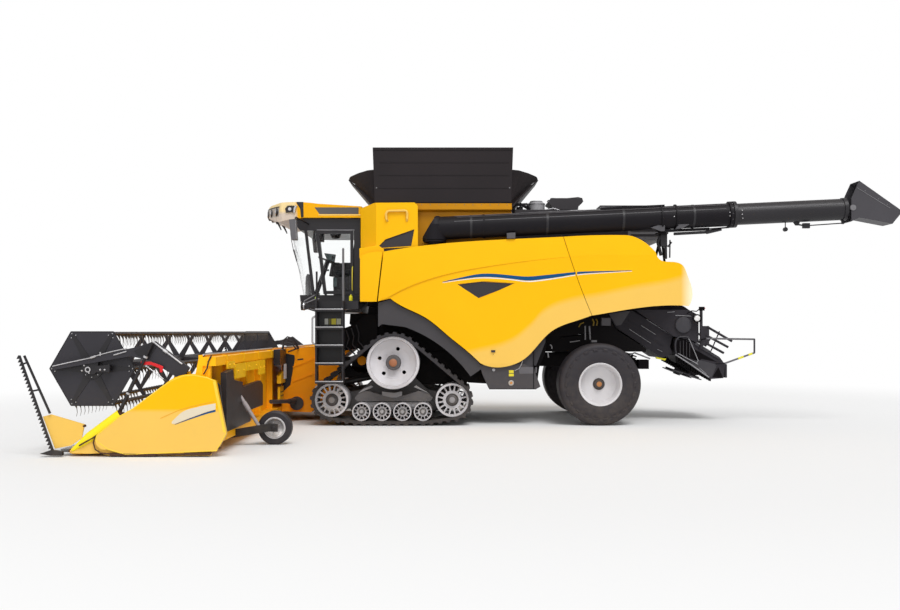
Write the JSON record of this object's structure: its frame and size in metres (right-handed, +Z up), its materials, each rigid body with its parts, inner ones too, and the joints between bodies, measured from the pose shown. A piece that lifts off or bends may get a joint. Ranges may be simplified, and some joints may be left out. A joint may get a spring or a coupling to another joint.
{
  "type": "combine harvester",
  "caption": "Self-propelled grain combine on front track units and steered rear wheels, with a wide reel header on its feeder house, cab, folding grain tank leaves and folding unloading auger",
  "frame": {"origin": "on the ground, in the middle of the overall length and width", "axes": "+X forward, +Y to the machine's left, +Z up"},
  "size_m": [13.7286, 12.53, 4.965],
  "materials": {
    "yellow_paint": "semi-gloss",
    "black_paint": "satin",
    "black_plastic": "matte",
    "rubber": "matte",
    "tyre_rubber": "matte",
    "silver_paint": "satin",
    "bare_steel": "brushed",
    "cab_glass": "clear",
    "seat_cloth": "woven"
  },
  "bodies": {
    "chassis": {"chassis_frame": "black_paint", "rear_axle": "black_paint", "machine_body": "black_paint", "front_body_panels": "yellow_paint", "track_fenders": "black_plastic", "engine": "black_paint", "engine_hood": "black_plastic", "deck_fittings": "black_plastic", "cab_floor": "black_paint", "cab_frame": "black_paint", "cab_roof": "yellow_paint", "cab_glass": "cab_glass", "seat_base": "black_plastic", "seat_cushion": "seat_cloth", "seat_back": "seat_cloth", "steering_column": "black_plastic", "grain_tank": "yellow_paint", "auger_boot": "black_paint", "chopper_housing": "black_paint", "spreader_deck": "black_paint", "left_track_belt": "rubber", "right_track_belt": "rubber", "track_wheels": "silver_paint", "track_frames": "black_paint", "tank_gussets": "rubber"},
    "left_steering_knuckle": {"left_knuckle": "black_paint"},
    "right_steering_knuckle": {"right_knuckle": "black_paint"},
    "left_back_wheel": {"left_rear_wheel": "tyre_rubber"},
    "right_back_wheel": {"right_rear_wheel": "tyre_rubber"},
    "left_front_side_door": {"left_front_panel": "yellow_paint"},
    "right_front_side_door": {"right_front_panel": "yellow_paint"},
    "left_rear_side_door": {"left_rear_panel": "yellow_paint"},
    "right_rear_side_door": {"right_rear_panel": "yellow_paint"},
    "door": {"cab_door": "black_paint", "door_glass": "cab_glass"},
    "steps": {"ladder": "black_paint"},
    "left_flap": {"left_tank_flap": "black_plastic"},
    "right_flap": {"right_tank_flap": "black_plastic"},
    "front_flap": {"front_tank_flap": "black_plastic"},
    "rear_flap": {"rear_tank_flap": "black_plastic"},
    "unloader": {"auger_tube": "black_paint"},
    "unloader_end": {"auger_outer": "black_paint"},
    "spout": {"auger_spout": "black_paint"},
    "left_spreader_disc": {"left_spreader": "black_paint"},
    "right_spreader_disc": {"right_spreader": "black_paint"},
    "straw_board": {"tailboard": "black_paint"},
    "header": {"feeder_house": "yellow_paint", "header_frame": "yellow_paint", "header_ends": "yellow_paint", "side_knives": "bare_steel", "cutter_bar": "bare_steel"},
    "lift_cylinder_barrels": {"lift_barrels": "black_paint"},
    "lift_cylinder_rods": {"lift_rods": "bare_steel"},
    "reel_carrier": {"reel_arms": "black_paint"},
    "reel_rotor": {"reel": "black_paint"},
    "reel_cylinder_barrels": {"reel_lift_barrels": "black_paint"},
    "reel_cylinder_rods": {"reel_lift_rods": "bare_steel"},
    "header_auger": {"intake_auger": "black_paint"},
    "left_gauge_rotor": {"left_gauge_wheel": "tyre_rubber"},
    "right_gauge_rotor": {"right_gauge_wheel": "tyre_rubber"}
  },
  "joints": [
    {"name": "left_steer", "type": "hinge", "parent": "chassis", "child": "left_steering_knuckle", "pos_m": [-1.519, 0.93, 0.725], "axis": [0, 0, 1], "range_deg": [-30, 30]},
    {"name": "right_steer", "type": "hinge", "parent": "chassis", "child": "right_steering_knuckle", "pos_m": [-1.519, -0.93, 0.725], "axis": [0, 0, 1], "range_deg": [-30, 30]},
    {"name": "left_wheel_spin", "type": "hinge", "parent": "left_steering_knuckle", "child": "left_back_wheel", "pos_m": [-1.519, 1.45, 0.725], "axis": [0, 1, 0], "continuous": true},
    {"name": "right_wheel_spin", "type": "hinge", "parent": "right_steering_knuckle", "child": "right_back_wheel", "pos_m": [-1.519, -1.45, 0.725], "axis": [0, 1, 0], "continuous": true},
    {"name": "header_lift", "type": "hinge", "parent": "chassis", "child": "header", "pos_m": [2.5, 0, 1.9], "axis": [0, -1, 0], "range_deg": [0, 13]},
    {"name": "lift_barrel_swing", "type": "hinge", "parent": "chassis", "child": "lift_cylinder_barrels", "pos_m": [2.56, 0, 0.83], "axis": [0, -1, 0], "range_deg": [-1, 16.1]},
    {"name": "lift_rod_slide", "type": "slide", "parent": "lift_cylinder_barrels", "child": "lift_cylinder_rods", "axis": [0.9787, 0, -0.2055], "range_m": [-0.01, 0.26]},
    {"name": "reel_lift", "type": "hinge", "parent": "header", "child": "reel_carrier", "pos_m": [4.7, 0, 1.043], "axis": [0, -1, 0], "range_deg": [0, 14]},
    {"name": "reel_barrel_swing", "type": "hinge", "parent": "header", "child": "reel_cylinder_barrels", "pos_m": [4.66, 0, 0.8], "axis": [0, -1, 0], "range_deg": [0, 12]},
    {"name": "reel_rod_slide", "type": "slide", "parent": "reel_cylinder_barrels", "child": "reel_cylinder_rods", "axis": [0.7926, 0, 0.6097], "range_m": [-0.01, 0.057]},
    {"name": "reel_spin", "type": "hinge", "parent": "reel_carrier", "child": "reel_rotor", "pos_m": [5.945, 0, 1.16], "axis": [0, 1, 0], "continuous": true},
    {"name": "intake_spin", "type": "hinge", "parent": "header", "child": "header_auger", "pos_m": [5.06, 0, 0.5], "axis": [0, 1, 0], "continuous": true},
    {"name": "left_gauge_spin", "type": "hinge", "parent": "header", "child": "left_gauge_rotor", "pos_m": [3.695, 4.69, 0.247], "axis": [0, 1, 0], "continuous": true},
    {"name": "right_gauge_spin", "type": "hinge", "parent": "header", "child": "right_gauge_rotor", "pos_m": [3.695, -4.69, 0.247], "axis": [0, 1, 0], "continuous": true},
    {"name": "auger_swing", "type": "hinge", "parent": "chassis", "child": "unloader", "pos_m": [1.4, 1.45, 3.5], "axis": [0, 0, -1], "range_deg": [0, 100]},
    {"name": "auger_fold", "type": "hinge", "parent": "unloader", "child": "unloader_end", "pos_m": [-3.9, 1.21, 3.74], "axis": [0, 0, 1], "range_deg": [0, 110]},
    {"name": "spout_tilt", "type": "hinge", "parent": "unloader_end", "child": "spout", "pos_m": [-5.95, 1.45, 3.985], "axis": [0, 1, 0], "range_deg": [0, 25]},
    {"name": "tank_cover", "type": "hinge", "parent": "chassis", "child": "left_flap", "pos_m": [1.25, 1.315, 3.985], "axis": [1, 0, 0], "range_deg": [0, 86], "deforming": ["tank_gussets"]},
    {"name": "right_flap_fold", "type": "hinge", "parent": "chassis", "child": "right_flap", "pos_m": [1.25, -1.315, 3.985], "axis": [-1, 0, 0], "range_deg": [0, 86]},
    {"name": "front_flap_fold", "type": "hinge", "parent": "chassis", "child": "front_flap", "pos_m": [2.495, 0, 3.915], "axis": [0, -1, 0], "range_deg": [0, 129]},
    {"name": "rear_flap_fold", "type": "hinge", "parent": "chassis", "child": "rear_flap", "pos_m": [0.005, 0, 3.915], "axis": [0, 1, 0], "range_deg": [0, 129]},
    {"name": "cab_door_hinge", "type": "hinge", "parent": "chassis", "child": "door", "pos_m": [2.885, 1.042, 2.9], "axis": [0, 0, 1], "range_deg": [0, 65]},
    {"name": "ladder_swing", "type": "hinge", "parent": "chassis", "child": "steps", "pos_m": [3.475, 1.79, 1.5], "axis": [0, 0, -1], "range_deg": [0, 90]},
    {"name": "left_front_panel_lift", "type": "hinge", "parent": "chassis", "child": "left_front_side_door", "pos_m": [0.71, 1.575, 3.16], "axis": [0.9961, 0, -0.0877], "range_deg": [0, 60]},
    {"name": "left_rear_panel_lift", "type": "hinge", "parent": "chassis", "child": "left_rear_side_door", "pos_m": [-1.5, 1.56, 3.3], "axis": [1, 0, 0], "range_deg": [0, 60]},
    {"name": "right_front_panel_lift", "type": "hinge", "parent": "chassis", "child": "right_front_side_door", "pos_m": [0.71, -1.575, 3.16], "axis": [-0.9961, 0, 0.0877], "range_deg": [0, 60]},
    {"name": "right_rear_panel_lift", "type": "hinge", "parent": "chassis", "child": "right_rear_side_door", "pos_m": [-1.5, -1.56, 3.3], "axis": [-1, 0, 0], "range_deg": [0, 60]},
    {"name": "tailboard_hinge", "type": "hinge", "parent": "chassis", "child": "straw_board", "pos_m": [-4, 0, 1.05], "axis": [0, 1, 0], "range_deg": [0, 35]},
    {"name": "left_spreader_spin", "type": "hinge", "parent": "chassis", "child": "left_spreader_disc", "pos_m": [-3.33, 0.4, 0.85], "axis": [-0.35, 0, 0.9367], "continuous": true},
    {"name": "right_spreader_spin", "type": "hinge", "parent": "chassis", "child": "right_spreader_disc", "pos_m": [-3.33, -0.4, 0.85], "axis": [-0.35, 0, 0.9367], "continuous": true}
  ],
  "couplings": [
    {"joint": "right_steer", "follows": "left_steer", "ratio": 1},
    {"joint": "lift_barrel_swing", "follows": "header_lift", "ratio": 1.1263},
    {"joint": "lift_rod_slide", "follows": "header_lift", "m_per_rad": 1.0597},
    {"joint": "reel_barrel_swing", "follows": "reel_lift", "ratio": 0.7133},
    {"joint": "reel_rod_slide", "follows": "reel_lift", "m_per_rad": 0.1516},
    {"joint": "right_flap_fold", "follows": "tank_cover", "ratio": 1},
    {"joint": "front_flap_fold", "follows": "tank_cover", "ratio": 1.494},
    {"joint": "rear_flap_fold", "follows": "tank_cover", "ratio": 1.494}
  ]
}
